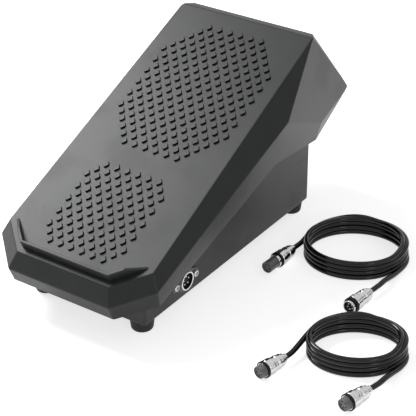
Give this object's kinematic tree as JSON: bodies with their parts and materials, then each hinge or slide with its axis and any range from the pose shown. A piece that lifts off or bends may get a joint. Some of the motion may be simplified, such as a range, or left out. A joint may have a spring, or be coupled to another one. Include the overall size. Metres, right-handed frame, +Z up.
{
  "type": "welder foot pedal",
  "caption": "Foot control with a tilting studded treadle on a low tray base, a round panel socket on one side and two coiled extension leads with metal plugs.",
  "frame": {"origin": "on the floor under the middle of the pedal's outline, the leads left out", "axes": "+X to the right seen from the low heel end, +Y from the heel end to the high toe end, +Z up"},
  "size_m": [0.3093, 0.3244, 0.164],
  "materials": {
    "cover_plastic": "satin moulded charcoal plastic",
    "base_plastic": "satin moulded charcoal plastic",
    "rubber": "matt black rubber",
    "steel_screw": "zinc-plated",
    "ground_steel": "ground",
    "spring_steel": "plain spring steel",
    "pot_metal": "nickel-plated case",
    "bracket_steel": "zinc-plated sheet",
    "brass": "plain",
    "switch_plastic": "black moulded",
    "nickel": "bright plated",
    "insert_plastic": "black moulded",
    "pin_insert_plastic": "grey moulded",
    "wire": "black sleeve",
    "gear_plastic": "natural acetal",
    "cord_jacket": "smooth black jacket"
  },
  "bodies": {
    "base": {"base_tray": "base_plastic", "foot_front_left": "rubber", "foot_front_right": "rubber", "foot_rear_left": "rubber", "foot_rear_right": "rubber", "foot_screws": "steel_screw", "rest_pad": "rubber", "bumper_left": "rubber", "bumper_right": "rubber", "hinge_pin": "ground_steel", "hinge_clips": "steel_screw", "return_spring_left": "spring_steel", "return_spring_right": "spring_steel", "potentiometer": "pot_metal", "pot_terminals": "brass", "pot_nut": "steel_screw", "pot_bracket": "bracket_steel", "bracket_screws": "steel_screw", "switch_body": "switch_plastic", "switch_screws": "steel_screw", "switch_terminals": "brass", "switch_lever_pin": "ground_steel", "socket_shell": "nickel", "socket_insert": "insert_plastic", "socket_contacts": "nickel", "socket_screws": "steel_screw", "wires_to_potentiometer": "wire", "wires_to_switch": "wire", "plug_1_shell": "nickel", "plug_1_seal": "rubber", "plug_1_insert": "insert_plastic", "plug_2_shell": "nickel", "plug_2_seal": "rubber", "plug_2_insert": "pin_insert_plastic", "plug_2_contacts": "brass", "plug_3_shell": "nickel", "plug_3_seal": "rubber", "plug_3_insert": "insert_plastic", "plug_4_shell": "nickel", "plug_4_seal": "rubber", "plug_4_insert": "insert_plastic", "lead_1_coil": "cord_jacket", "lead_1_tail_left": "cord_jacket", "lead_1_tail_right": "cord_jacket", "lead_2_coil": "cord_jacket", "lead_2_tail_left": "cord_jacket", "lead_2_tail_right": "cord_jacket"},
    "treadle": {"treadle_cover": "cover_plastic", "treadle_core": "base_plastic", "treadle_ribs": "base_plastic", "tread_studs": "cover_plastic", "toothed_sector": "gear_plastic", "sector_screws": "steel_screw", "hinge_bushes": "gear_plastic"},
    "spindle": {"pinion": "brass", "pinion_grub_screw": "steel_screw", "pot_spindle": "ground_steel"},
    "lever": {"switch_lever": "spring_steel"},
    "plunger": {"switch_plunger": "gear_plastic"}
  },
  "joints": [
    {"name": "treadle_hinge", "type": "hinge", "parent": "base", "child": "treadle", "pos_m": [0, -0.10995, 0.036], "axis": [1, 0, 0], "range_deg": [-10, 0], "stiffness_Nm_per_rad": 0.9, "springref_deg": 20.05, "deforming": ["return_spring_left", "return_spring_right"]},
    {"name": "pinion_spin", "type": "hinge", "parent": "base", "child": "spindle", "pos_m": [0, 0.00939, 0.04854], "axis": [1, 0, 0], "range_deg": [0, 150]},
    {"name": "lever_swing", "type": "hinge", "parent": "base", "child": "lever", "pos_m": [-0.022, -0.10995, 0.0255], "axis": [1, 0, 0], "range_deg": [-10, 0]},
    {"name": "plunger_slide", "type": "slide", "parent": "base", "child": "plunger", "axis": [0, 0, 1], "range_m": [0, 0.00091]}
  ],
  "couplings": [
    {"joint": "pinion_spin", "follows": "treadle_hinge", "ratio": -15},
    {"joint": "lever_swing", "follows": "treadle_hinge", "ratio": 1},
    {"joint": "plunger_slide", "follows": "treadle_hinge", "m_per_rad": -0.0052}
  ]
}
